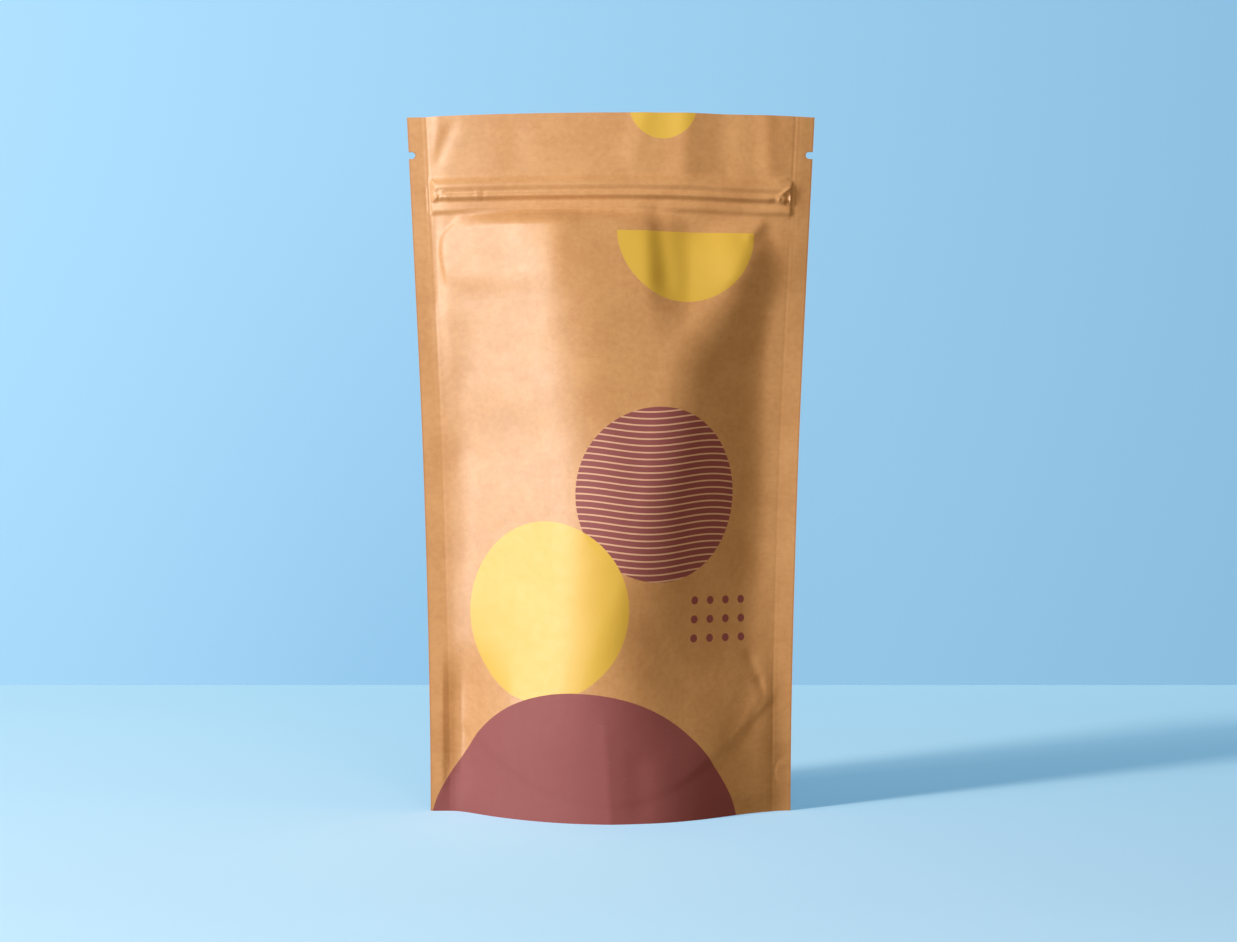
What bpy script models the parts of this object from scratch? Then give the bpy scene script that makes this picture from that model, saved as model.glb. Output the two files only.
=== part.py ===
"""Stand-up zip-lock pouch of kraft paper, filled and shut, standing on its opened bottom gusset.

The pouch is one closed solid. Its front and back walls are worked out as depths over the plane
of the side seals, from level to level. The front faces -Y, +Z is up, and the origin is on the
floor under the middle of the pouch. Lengths below are in millimetres.
"""

import math

import bpy
import bmesh

MM = 0.001

# The pouch as it stands
HEIGHT = 268.0
FOOT_HALF_WIDTH = 69.5
TOP_HALF_WIDTH = 78.8
WIDENING_POWER = 1.6
SEAL_WIDTH = 7.4
SEAL_THICKNESS = 0.6
FOOT_ARC_HALF_WIDTH = 58.2

# The seals and the header are bowed forward, and the bow fades out down the body. The profile
# lists (share of the half width, bow) from the left edge to the right edge.
BOW_PROFILE = [(-1.0, 3.9), (-0.9, 4.4), (-0.8, 6.2), (-0.6, 8.9), (-0.4, 10.9), (-0.2, 12.1),
               (0.0, 12.6), (0.2, 12.5), (0.4, 11.4), (0.55, 9.6), (0.7, 7.7), (0.8, 6.7),
               (0.88, 6.0), (0.91, 5.7), (1.0, 4.0)]
BOW_FADE_FROM = 130.0
BOW_FADE_TO = 232.0

# How far the walls stand out in the middle, as (height, depth)
FRONT_DEPTHS = [(0, 32.2), (30, 31.6), (62, 30.8), (100, 29.2), (128, 27.6), (143, 26.4),
                (165, 25.0), (180, 24.4), (200, 23.8), (211, 22.6), (220, 20.6), (232, 17.4)]
BACK_FILL = [(0, 32.2), (30, 31.6), (62, 30.6), (100, 29.0), (143, 27.0), (180, 24.5),
             (200, 22.0), (217, 19.0), (240, 16.0)]

# The filled body ends in a rounded shoulder under the zip, tighter at the front
FRONT_SHOULDER_FROM = 224.0
FRONT_SHOULDER_TO = 231.0
BACK_SHOULDER_FROM = 196.0
BACK_SHOULDER_TO = 229.0

# The front has a broad face between a gentle left flank and a steep right flank. Each flank is
# given by the x of its foot on the seals' plane and by its slope, as (height, value).
FACE_PEAK_X = -7.0
FACE_SLOPE = math.tan(math.radians(6.0))
LEFT_FLANK_FOOT = [(0, -58.5), (15, -57.6), (55, -57.6), (80, -58.8), (100, -58.2), (143, -58.4),
                   (160, -60.0), (176, -61.2), (198, -63.0), (206, -64.8), (214, -66.2),
                   (219, -66.2), (223, -64.5), (226, -61.5), (232, -58.0)]
LEFT_FLANK_SLOPES = [(0, 0.65), (55, 0.65), (80, 0.61), (100, 0.60), (143, 0.55), (160, 0.53),
                     (176, 0.49), (190, 0.47), (198, 0.456), (206, 0.43), (214, 0.41), (232, 0.40)]
RIGHT_FLANK_FOOT = [(0, 62.5), (38, 61.5), (50, 60.0), (70, 57.0), (105, 55.5), (139, 57.5),
                    (165, 59.0), (187, 63.5), (203, 68.0), (212, 69.0), (222, 68.5), (232, 67.5)]
RIGHT_FLANK_SLOPES = [(0, 0.55), (50, 0.56), (90, 0.68), (180, 0.72), (205, 0.80), (232, 0.90)]
LEFT_RIDGE_ROUNDINGS = [(0, 10.0), (140, 9.5), (190, 6.5), (240, 6.0)]
RIGHT_RIDGE_ROUNDINGS = [(0, 16.0), (50, 12.0), (100, 5.5), (195, 5.5), (215, 4.0)]
SEAL_ROUNDING = 4.0
FOOT_FLARE_ROUNDING = 13.0

# Near the top the face steps back towards the right, across these x and up these heights
UPPER_STEP = 4.6
UPPER_STEP_ACROSS = (13.0, 31.0)
UPPER_STEP_UP = (172.0, 202.0)

# The foot's shallow arc turns into the body's section, sooner at the right
FOOT_SHAPE_TO = 8.0
BODY_SHAPE_FROM = 92.0
RIGHT_BODY_SHAPE_FROM = 58.0
RIGHT_SHARE_ACROSS = (0.0, 30.0)

# The back has a flat middle between two even flanks
BACK_FACE_HALF_WIDTH = 27.0
BACK_RIDGE_ROUNDING = 14.0

# The valley beside the foot's left end, in both walls: (x, depth), and the heights it fades over
FOOT_VALLEY = [(-64.8, 0.0), (-57.4, 3.3), (-38.0, 0.0)]
FOOT_VALLEY_FROM = (1.0, 22.0)
FOOT_VALLEY_TO = (68.0, 42.0)

# Zip: a press-to-close bead with a flange above and below it
ZIP_BEAD_Z = 237.6
ZIP_BEAD_HALF_HEIGHT = 1.7
ZIP_BEAD_RISE = 1.0
ZIP_FLANGE_TOP = 245.0
ZIP_FLANGE_BOTTOM = 231.0
ZIP_FLANGE_RISE = 0.35

# Tear notches, cut into the side seals with a round end: (side, end's centre inside the edge)
NOTCH_BELOW_TOP = 15.0
NOTCH_RADIUS = 1.42
NOTCHES = [(-1, 1.1), (1, 1.36)]
NOTCH_ARC_STEPS = 12
NOTCH_CUTTER_OUTSIDE = 3.0
NOTCH_CUTTER_HALF_LENGTH = 20.0

# Bottom seal: an arc that rises from the middle of the foot to the side seals
ARC_MIDDLE = 6.0
ARC_RISE = 24.0
ARC_POWER = 2.1
ARC_AT_X = 54.3
ARC_RIGHT_LIFT = 4.0
ARC_STEP = 1.5
ARC_ROUNDING = 3.0
ARC_LEAST_SHARE = 0.12
ARC_LEFT_SHARE = 0.12
ARC_RIGHT_SHARE = 0.45

# Underside: the rims stand on the floor, and a groove runs inside them round the flat gusset
RIM_THICKNESS = 0.9
GROOVE_DEPTH = 3.2
GUSSET_INSETS = [(0.0, 0.0), (RIM_THICKNESS, 0.0), (1.4, 0.75), (4.0, 1.0), (8.0, 0.3), (13.0, 0.0)]
GUSSET_REACH = 15.0

# Mouth: the two plies part by a narrow groove along the top edge
MOUTH_PLY = 0.2
MOUTH_DEPTH = 2.5

# Grid of the walls
BODY_COLUMNS = 43
SEAL_FRACTIONS = [0.0, 0.5]
LEVELS = ([0, 3, 6.5, 10, 14, 18, 22, 26, 30, 34, 39, 46, 55, 66]
          + [66 + 12 * step for step in range(1, 11)]
          + [195, 202, 208, 213, 217, 221, 223.5, 225, 226.5, 228, 229.3, 230.4, 231, 232]
          + [235.5, 236.4, 238.8, 239.7, 244, 245.4, 250, 256, 262, HEIGHT])

KRAFT_COLOUR = (0.55, 0.31, 0.14, 1.0)
KRAFT_ROUGHNESS = 0.62


def smoothstep(low, high, value):
    """Rise from 0 at low to 1 at high, level at both ends."""
    t = min(1.0, max(0.0, (value - low) / (high - low)))
    return t * t * (3.0 - 2.0 * t)


def smooth_max(a, b, radius):
    """The larger of two values, rounded where they cross."""
    overlap = max(radius - abs(a - b), 0.0) / radius
    return max(a, b) + overlap * overlap * radius / 4.0


def smooth_min(a, b, radius):
    """The smaller of two values, rounded where they cross."""
    return -smooth_max(-a, -b, radius)


def along(table, place):
    """Read a table of (place, value) pairs as one smooth curve."""
    if place <= table[0][0]:
        return table[0][1]
    if place >= table[-1][0]:
        return table[-1][1]
    slopes = [(b[1] - a[1]) / (b[0] - a[0]) for a, b in zip(table, table[1:])]
    tangents = [slopes[0]] + [(a + b) / 2.0 for a, b in zip(slopes, slopes[1:])] + [slopes[-1]]
    index = max(i for i, pair in enumerate(table) if pair[0] <= place)
    start, start_value = table[index]
    end, end_value = table[index + 1]
    span = end - start
    t = (place - start) / span
    return ((2 * t ** 3 - 3 * t ** 2 + 1) * start_value
            + (t ** 3 - 2 * t ** 2 + t) * span * tangents[index]
            + (3 * t ** 2 - 2 * t ** 3) * end_value
            + (t ** 3 - t ** 2) * span * tangents[index + 1])


def half_width(z):
    """Half the distance between the two side edges."""
    return FOOT_HALF_WIDTH + (TOP_HALF_WIDTH - FOOT_HALF_WIDTH) * (z / HEIGHT) ** WIDENING_POWER


def bow(x, z):
    """Forward bow of the seals and the header, the same for both walls."""
    return along(BOW_PROFILE, x / half_width(z)) * smoothstep(BOW_FADE_FROM, BOW_FADE_TO, z)


def shoulder(z, start, end):
    """Share of the filling's depth that is left as it rounds off under the zip."""
    t = min(1.0, max(0.0, (z - start) / (end - start)))
    return math.cos(math.pi / 2.0 * t)


def foot_shape(x, depth):
    """Section of the opened foot: a shallow arc from seal to seal."""
    return depth * (1.0 - (x / FOOT_ARC_HALF_WIDTH) ** 2)


def front_face_shape(x, z, depth):
    """Section of the filled front: left flank, broad face and steep right flank."""
    left_foot = along(LEFT_FLANK_FOOT, z)
    left = bow(left_foot, z) + along(LEFT_FLANK_SLOPES, z) * (x - left_foot)
    step = UPPER_STEP * smoothstep(*UPPER_STEP_ACROSS, x) * smoothstep(*UPPER_STEP_UP, z)
    face = depth + 0.6 - FACE_SLOPE * (x - FACE_PEAK_X) - step
    right = along(RIGHT_FLANK_SLOPES, z) * (along(RIGHT_FLANK_FOOT, z) - x)
    faces = smooth_min(left, face, along(LEFT_RIDGE_ROUNDINGS, z))
    return smooth_min(faces, right, along(RIGHT_RIDGE_ROUNDINGS, z))


def back_face_shape(x, z, depth):
    """Section of the filled back: a flat middle between two even flanks."""
    inner = half_width(z) - SEAL_WIDTH
    flank = (depth + 2.0) * (inner - abs(x)) / (inner - BACK_FACE_HALF_WIDTH)
    return smooth_min(flank, depth + 1.0, BACK_RIDGE_ROUNDING)


def bottom_seal_recess(x, z):
    """How far the wall is drawn in below the arc of the bottom seal."""
    arc = ARC_MIDDLE + ARC_RISE * (abs(x) / ARC_AT_X) ** ARC_POWER
    arc += ARC_RIGHT_LIFT * smoothstep(0.0, ARC_AT_X, x)
    below = 1.0 - smoothstep(arc - 1.0, arc + ARC_ROUNDING, z)
    share = ARC_LEAST_SHARE + ARC_LEFT_SHARE * smoothstep(12.0, 45.0, -x)
    share += ARC_RIGHT_SHARE * smoothstep(20.0, 48.0, x)
    return ARC_STEP * below * share


def fill_depth(x, z, front):
    """How far one wall stands out from the bowed plane of the seals."""
    right_share = smoothstep(*RIGHT_SHARE_ACROSS, x)
    body_from = BODY_SHAPE_FROM + (RIGHT_BODY_SHAPE_FROM - BODY_SHAPE_FROM) * right_share
    to_body = smoothstep(FOOT_SHAPE_TO, body_from, z)
    if front:
        depth = along(FRONT_DEPTHS, z)
        body = front_face_shape(x, z, depth) - bow(x, z)
        top = shoulder(z, FRONT_SHOULDER_FROM, FRONT_SHOULDER_TO)
    else:
        depth = along(BACK_FILL, z)
        body = back_face_shape(x, z, depth)
        top = shoulder(z, BACK_SHOULDER_FROM, BACK_SHOULDER_TO)
    section = (1.0 - to_body) * foot_shape(x, depth) + to_body * body
    section -= bottom_seal_recess(x, z)
    flare = FOOT_FLARE_ROUNDING * smoothstep(60.0, 10.0, z) * smoothstep(0.0, 40.0, x)
    return smooth_max(section, 0.0, SEAL_ROUNDING + flare) * top


def foot_valley(x, z):
    """How far both walls are drawn back beside the foot's left end."""
    (outer, _), (bottom, depth), (inner, _) = FOOT_VALLEY
    across = min((x - outer) / (bottom - outer), (inner - x) / (inner - bottom))
    fade = smoothstep(*FOOT_VALLEY_FROM, z) * smoothstep(*FOOT_VALLEY_TO, z)
    return depth * max(0.0, across) * fade


def zip_relief(x, z):
    """Height of the zip's bead and flanges, alike on both walls."""
    inner = half_width(z) - SEAL_WIDTH
    ends = 1.0 - smoothstep(inner - 1.0, inner + 4.0, abs(x))
    from_bead = abs(z - ZIP_BEAD_Z) / ZIP_BEAD_HALF_HEIGHT
    bead = ZIP_BEAD_RISE * max(0.0, 1.0 - from_bead ** 4) if from_bead < 1.0 else 0.0
    on_flange = ZIP_FLANGE_BOTTOM <= z <= ZIP_FLANGE_TOP
    return ends * (bead + (ZIP_FLANGE_RISE if on_flange else 0.0))


def wall_y(x, z, front):
    """Y of the outer surface of the front or the back wall."""
    inner = half_width(z) - SEAL_WIDTH
    inside = 1.0 - smoothstep(inner - 6.0, inner + 2.0, abs(x))
    half_thickness = SEAL_THICKNESS / 2.0 * (1.0 + 0.6 * inside)
    out = half_thickness + fill_depth(x, z, front) + zip_relief(x, z)
    middle = foot_valley(x, z) - bow(x, z)
    return middle - out if front else middle + out


def column_positions(z):
    """X of each grid column at one height, from the left edge to the right edge."""
    edge = half_width(z)
    inner = edge - SEAL_WIDTH
    left_seal = [-edge + fraction * SEAL_WIDTH for fraction in SEAL_FRACTIONS]
    body = []
    for step in range(BODY_COLUMNS + 1):
        t = 2.0 * step / BODY_COLUMNS - 1.0
        body.append(inner * (t + 0.06 * math.sin(math.pi * t)))
    right_seal = [-x for x in reversed(left_seal)]
    return left_seal + body + right_seal


def add_wall(mesh, front):
    """Add the grid of points of one wall and return them as rows from the floor up."""
    rows = []
    for z in LEVELS:
        row = []
        for x in column_positions(z):
            row.append(mesh.verts.new((x * MM, wall_y(x, z, front) * MM, z * MM)))
        rows.append(row)
    return rows


def bridge_rows(mesh, first, second):
    """Join two rows of points with a strip of quads."""
    for i in range(len(first) - 1):
        mesh.faces.new((first[i], first[i + 1], second[i + 1], second[i]))


def underside_rows(mesh, front_row, back_row):
    """Rows of points under the pouch, from the front rim's inner side to the back rim's."""
    front_rows = [[] for _ in GUSSET_INSETS[1:]]
    back_rows = [[] for _ in GUSSET_INSETS[1:]]
    for front_point, back_point in zip(front_row, back_row):
        x, front_y = front_point.co.x, front_point.co.y
        back_y = back_point.co.y
        scale = min(1.0, (back_y - front_y) / 2.0 / (GUSSET_REACH * MM))
        for rows, start, direction in ((front_rows, front_y, 1.0), (back_rows, back_y, -1.0)):
            for row, (inset, share) in zip(rows, GUSSET_INSETS[1:]):
                y = start + direction * inset * MM * scale
                row.append(mesh.verts.new((x, y, share * GROOVE_DEPTH * MM * scale)))
    return front_rows + back_rows[::-1]


def mouth_rows(mesh, front_row, back_row):
    """Rows of points along the top: the inner edges of the two plies and the groove's floor."""
    rows = [[], [], []]
    last = len(front_row) - 1
    for i, (front_point, back_point) in enumerate(zip(front_row, back_row)):
        x, z = front_point.co.x, front_point.co.z
        front_y, back_y = front_point.co.y, back_point.co.y
        parted = 0.0 if i in (0, last) else 1.0
        lows = (0.0, MOUTH_DEPTH * MM * parted, 0.0)
        for row, y, low in zip(rows, (front_y + MOUTH_PLY * MM, (front_y + back_y) / 2.0,
                                      back_y - MOUTH_PLY * MM), lows):
            row.append(mesh.verts.new((x, y, z - low)))
    return rows


def close_side(mesh, front_rows, back_rows, under, mouth, column):
    """Close one side edge, with the ends of the underside's and the mouth's rows in the loop."""
    loop = [row[column] for row in front_rows]
    loop += [row[column] for row in mouth]
    loop += [row[column] for row in reversed(back_rows)]
    loop += [row[column] for row in reversed(under)]
    mesh.faces.new(loop)


def pouch_mesh():
    """Build the whole closed surface of the pouch."""
    mesh = bmesh.new()
    front_rows = add_wall(mesh, True)
    back_rows = add_wall(mesh, False)
    for lower, upper in zip(front_rows, front_rows[1:]):
        bridge_rows(mesh, lower, upper)
    for lower, upper in zip(back_rows, back_rows[1:]):
        bridge_rows(mesh, lower, upper)
    under = underside_rows(mesh, front_rows[0], back_rows[0])
    chain = [front_rows[0]] + under + [back_rows[0]]
    for first, second in zip(chain, chain[1:]):
        bridge_rows(mesh, first, second)
    mouth = mouth_rows(mesh, front_rows[-1], back_rows[-1])
    chain = [front_rows[-1]] + mouth + [back_rows[-1]]
    for first, second in zip(chain, chain[1:]):
        bridge_rows(mesh, first, second)
    close_side(mesh, front_rows, back_rows, under, mouth, 0)
    close_side(mesh, front_rows, back_rows, under, mouth, -1)
    bmesh.ops.recalc_face_normals(mesh, faces=mesh.faces)
    data = bpy.data.meshes.new("pouch")
    mesh.to_mesh(data)
    mesh.free()
    return data


def notch_outline(side, inside):
    """The (x, z) outline of a tear notch: a half circle inside the seal, open past its edge."""
    z = HEIGHT - NOTCH_BELOW_TOP
    edge = half_width(z)
    outline = [(side * (edge + NOTCH_CUTTER_OUTSIDE), z - NOTCH_RADIUS),
               (side * (edge + NOTCH_CUTTER_OUTSIDE), z + NOTCH_RADIUS)]
    for step in range(NOTCH_ARC_STEPS + 1):
        angle = math.pi * step / NOTCH_ARC_STEPS
        outline.append((side * (edge - inside - NOTCH_RADIUS * math.sin(angle)),
                        z + NOTCH_RADIUS * math.cos(angle)))
    return outline


def notch_cutter():
    """Two prisms that cut the tear notches, lying along Y through the side seals."""
    mesh = bmesh.new()
    for side, inside in NOTCHES:
        near, far = [], []
        for x, z in notch_outline(side, inside):
            near.append(mesh.verts.new((x * MM, -NOTCH_CUTTER_HALF_LENGTH * MM, z * MM)))
            far.append(mesh.verts.new((x * MM, NOTCH_CUTTER_HALF_LENGTH * MM, z * MM)))
        mesh.faces.new(near)
        mesh.faces.new(far[::-1])
        bridge_rows(mesh, near + near[:1], far + far[:1])
    bmesh.ops.recalc_face_normals(mesh, faces=mesh.faces)
    data = bpy.data.meshes.new("notch_cutter")
    mesh.to_mesh(data)
    mesh.free()
    cutter = bpy.data.objects.new("notch_cutter", data)
    bpy.context.collection.objects.link(cutter)
    cutter.hide_render = True
    cutter.display_type = "WIRE"
    return cutter


def kraft_material():
    """Plain brown kraft paper with a thin matt film."""
    material = bpy.data.materials.new("kraft")
    material.use_nodes = True
    shader = material.node_tree.nodes["Principled BSDF"]
    shader.inputs["Base Color"].default_value = KRAFT_COLOUR
    shader.inputs["Roughness"].default_value = KRAFT_ROUGHNESS
    shader.inputs["Metallic"].default_value = 0.0
    return material


def main():
    for existing in list(bpy.data.objects):
        bpy.data.objects.remove(existing)
    pouch = bpy.data.objects.new("pouch", pouch_mesh())
    bpy.context.collection.objects.link(pouch)
    pouch.data.materials.append(kraft_material())
    pouch.data.shade_smooth()
    pouch.data.set_sharp_from_angle(angle=math.radians(35.0))
    cut = pouch.modifiers.new("tear_notches", "BOOLEAN")
    cut.operation = "DIFFERENCE"
    cut.solver = "EXACT"
    cut.object = notch_cutter()


main()
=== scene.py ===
"""Looks of the standing zip-lock pouch: a fine kraft-paper skin with its creases, print and zip.

The frame's one node, pouch, is replaced by one mesh of the same form. Lengths are in millimetres
and become metres when the mesh is made. The front faces -Y, and z is the height over the floor.
"""

import math

import bpy
import numpy as np
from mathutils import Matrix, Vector


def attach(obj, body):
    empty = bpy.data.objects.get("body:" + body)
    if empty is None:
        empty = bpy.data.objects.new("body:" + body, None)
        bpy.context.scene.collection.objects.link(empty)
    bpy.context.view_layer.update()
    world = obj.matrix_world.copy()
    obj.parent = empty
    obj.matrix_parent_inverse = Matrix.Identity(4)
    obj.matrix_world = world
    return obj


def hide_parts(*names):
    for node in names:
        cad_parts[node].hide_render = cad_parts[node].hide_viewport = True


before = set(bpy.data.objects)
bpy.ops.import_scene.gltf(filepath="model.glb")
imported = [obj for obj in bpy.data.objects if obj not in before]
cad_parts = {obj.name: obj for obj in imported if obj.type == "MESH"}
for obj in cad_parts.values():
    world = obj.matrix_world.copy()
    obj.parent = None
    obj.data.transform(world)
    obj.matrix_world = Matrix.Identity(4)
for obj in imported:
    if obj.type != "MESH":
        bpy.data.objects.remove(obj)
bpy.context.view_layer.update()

MM = 0.001

# The pouch as it stands, the same sizes as the frame's solid. The bow's profile lists (share of
# the half width, bow) from the left edge to the right edge, and the other tables (height, value).
HEIGHT = 268.0
FOOT_HALF_WIDTH = 69.5
TOP_HALF_WIDTH = 78.8
WIDENING_POWER = 1.6
SEAL_WIDTH = 7.4
FOOT_ARC_HALF_WIDTH = 58.2
BOW_PROFILE = [(-1.0, 3.9), (-0.9, 4.4), (-0.8, 6.2), (-0.6, 8.9), (-0.4, 10.9), (-0.2, 12.1),
               (0.0, 12.6), (0.2, 12.5), (0.4, 11.4), (0.55, 9.6), (0.7, 7.7), (0.8, 6.7),
               (0.88, 6.0), (0.91, 5.7), (1.0, 4.0)]
BOW_FADE_FROM = 130.0
BOW_FADE_TO = 232.0
FRONT_DEPTHS = [(0, 32.2), (30, 31.6), (62, 30.8), (100, 29.2), (128, 27.6), (143, 26.4),
                (165, 25.0), (180, 24.4), (200, 23.8), (211, 22.6), (220, 20.6), (232, 17.4)]
BACK_FILL = [(0, 32.2), (30, 31.6), (62, 30.6), (100, 29.0), (143, 27.0), (180, 24.5),
             (200, 22.0), (217, 19.0), (240, 16.0)]
FRONT_SHOULDER_FROM = 224.0
FRONT_SHOULDER_TO = 231.0
BACK_SHOULDER_FROM = 196.0
BACK_SHOULDER_TO = 229.0
FACE_PEAK_X = -7.0
FACE_SLOPE = math.tan(math.radians(6.0))
FACE_LIFT = 0.6
LEFT_FLANK_FOOT = [(0, -58.5), (15, -57.6), (55, -57.6), (80, -58.8), (100, -58.2), (143, -58.4),
                   (160, -60.0), (176, -61.2), (198, -63.0), (206, -64.8), (214, -66.2),
                   (219, -66.2), (223, -64.5), (226, -61.5), (232, -58.0)]
LEFT_FLANK_SLOPES = [(0, 0.65), (55, 0.65), (80, 0.61), (100, 0.60), (143, 0.55), (160, 0.53),
                     (176, 0.49), (190, 0.47), (198, 0.456), (206, 0.43), (214, 0.41), (232, 0.40)]
RIGHT_FLANK_FOOT = [(0, 62.5), (38, 61.5), (50, 60.0), (70, 57.0), (105, 55.5), (139, 57.5),
                    (165, 59.0), (187, 63.5), (203, 68.0), (212, 69.0), (222, 68.5), (232, 67.5)]
RIGHT_FLANK_SLOPES = [(0, 0.55), (50, 0.56), (90, 0.68), (180, 0.72), (205, 0.80), (232, 0.90)]
UPPER_STEP = 4.6
UPPER_STEP_ACROSS = (13.0, 31.0)
UPPER_STEP_UP = (172.0, 202.0)
LEFT_RIDGE_ROUNDINGS = [(0, 10.0), (140, 9.5), (190, 6.5), (240, 6.0)]
RIGHT_RIDGE_ROUNDINGS = [(0, 16.0), (50, 12.0), (100, 5.5), (195, 5.5), (215, 4.0)]
FOOT_SHAPE_TO = 8.0
BODY_SHAPE_FROM = 92.0
RIGHT_BODY_SHAPE_FROM = 58.0
RIGHT_SHARE_ACROSS = (0.0, 30.0)
BACK_FACE_HALF_WIDTH = 27.0
BACK_FACE_LIFT = 1.0
BACK_FLANK_LIFT = 2.0
BACK_RIDGE_ROUNDING = 14.0

# Finer shape: the header's lean, its lower corners and the puffed left edge of the filled front
HEADER_LEAN = 1.0
HEADER_LEAN_FROM = 243.0
HEADER_LEAN_POWER = 1.5
CORNER_DROOP = 0.2
CORNER_DROOP_FROM = 255.0
CORNER_DROOP_POWER = 6
PUFF_DEPTH = 0.8
PUFF_WIDTH = 1.6
PUFF_UP = (196.0, 208.0)

# How roundly the filled body runs into the seals: crisper at the top left, softer at the foot
SEAL_ROUNDING = 4.0
CRISP_ROUNDING = 1.3
CRISP_UP = (188.0, 206.0)
LEFT_FOOT_ROUNDING = 2.0
LEFT_FOOT_UP = (60.0, 30.0)
FOOT_FLARE_ROUNDING = 13.0
FOOT_FLARE_UP = (60.0, 10.0)
FOOT_FLARE_ACROSS = (0.0, 40.0)

# The film and what is formed in it
SEAL_THICKNESS = 0.44
PLY = 0.16
LEAST_SHARE = 0.8
LEAST_ROUNDING = 0.8
INSIDE_RUN = (6.0, 2.0)
MOUTH_GAP = 1.3
MOUTH_DEPTH = 17.0
MOUTH_END_MARGIN = 0.5
MOUTH_END_SHARE = 0.2
MOUTH_END_DEPTH = 0.15
ZIP_BEAD_Z = 237.6
ZIP_SAG = 1.1
ZIP_SAG_ACROSS = (10.0, 75.0)
ZIP_PROFILE = [(-8.8, 0.0), (-8.2, 0.08), (-7.4, 0.5), (-6.6, 1.0), (-5.8, 1.15), (-4.8, 0.98),
               (-3.9, 0.75), (-3.3, 0.72), (-2.7, 0.98), (-2.1, 1.55), (-1.5, 2.0), (-0.9, 2.02),
               (-0.3, 1.72), (0.2, 1.5), (0.8, 1.52), (1.4, 1.72), (2.0, 1.96), (2.8, 2.08),
               (3.6, 1.84), (4.6, 1.3), (5.6, 0.7), (6.6, 0.2), (7.2, 0.04), (7.8, 0.0)]
NOTCH_BELOW_TOP = 15.0
NOTCH_RADIUS = 1.42
NOTCH_STEP = 0.02
LEFT_NOTCH_INSIDE = 1.1
RIGHT_NOTCH_INSIDE = 1.36
ARC_MIDDLE = 6.0
ARC_RISE = 24.0
ARC_POWER = 2.1
ARC_AT_X = 54.3
ARC_RIGHT_LIFT = 4.0
ARC_STEP = 1.5
ARC_EDGE = 1.0
ARC_ROUNDING = 3.0
ARC_LEAST_SHARE = 0.12
ARC_LEFT_SHARE = 0.12
ARC_LEFT_ACROSS = (12.0, 45.0)
ARC_RIGHT_SHARE = 0.45
ARC_RIGHT_ACROSS = (20.0, 48.0)
SPOT_SEAL_RADIUS = 5.9
SPOT_SEAL_Z = 14.9
SPOT_SEAL_RISE = 0.12
SPOT_SEAL_EDGE = (0.3, -0.4)
SPOT_GROOVE_OUTSIDE = 0.5
SPOT_GROOVE_HALF_WIDTH = 0.6

# Underside: the rim's section as (distance in from the wall, height), and the flat gusset
RIM_SECTION = [(0.0, 0.0), (0.25, 0.0), (0.5, 1.2), (1.0, 2.6), (1.8, 3.1), (2.8, 3.2), (4.0, 3.0),
               (5.5, 2.4), (7.0, 1.7), (8.5, 1.1), (10.0, 0.6), (12.0, 0.2), (14.0, 0.05)]
GUSSET_REACH = 15.0
GUSSET_ROWS = 15
GUSSET_CREASE = 0.5
GUSSET_CREASE_SHARE = 0.06

# Lines pressed along the side seals: distance inside the seal's inner line, half width, and the
# rise all the way up, the further rise of the upper half and the further rise beside the zip
SEAL_LINES = [
    (0.0, 0.5, -0.13, -0.15, 0.0),
    (-1.7, 0.35, 0.0, -0.07, 0.0),
    (-0.75, 0.35, 0.0, 0.0, 0.16),
    (-1.5, 0.35, 0.0, 0.0, -0.16),
]
UPPER_HALF_FROM = (205.0, 235.0)
BESIDE_ZIP_FROM = (230.5, 232.5)
BESIDE_ZIP_TO = (241.5, 239.5)

# The front wall's roll just over the floor: x, half width and depth
FOOT_CURLS = [(55.0, 10.0, 1.3), (-58.0, 8.0, 0.5)]
FOOT_CURL_TOP = 9.0

# Unevenness of the film: distance between hills and height, and its share on the seals
PAPER_WAVES = [(34.0, 0.3), (15.0, 0.12), (6.0, 0.03)]
WAVES_ON_SEALS = 0.12
WAVES_FADE_TO = 12.0
FRONT_SEED = 11
BACK_SEED = 71

# Soft folds that both plies of the open header share: from x, z, to x, z, half width, rise
HEADER_FOLDS = [
    (-67.0, 272.0, -68.0, 246.0, 2.0, 0.22),
    (-60.5, 266.0, -68.0, 248.0, 2.6, -0.5),
    (-36.6, 268.0, -36.6, 244.0, 5.0, -0.3),
    (14.1, 272.0, 7.5, 246.0, 4.2, 0.45),
    (29.0, 272.0, 27.6, 240.0, 5.0, 0.8),
    (44.0, 272.0, 43.0, 240.0, 6.0, -0.7),
    (59.8, 272.0, 61.4, 242.0, 3.6, 0.6),
]

# The right side seal turns back a little over the foot
SEAL_TURN = 0.1
SEAL_TURN_FROM = 60.0
SEAL_TURN_UP = (110.0, 40.0)

# The valley beside the foot's left end, in both walls: x and depth, and the heights it fades over
FOOT_VALLEY = [(-64.8, 0.0), (-57.4, 3.3), (-38.0, 0.0)]
FOOT_VALLEY_FROM = (1.0, 22.0)
FOOT_VALLEY_TO = (68.0, 42.0)

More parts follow.
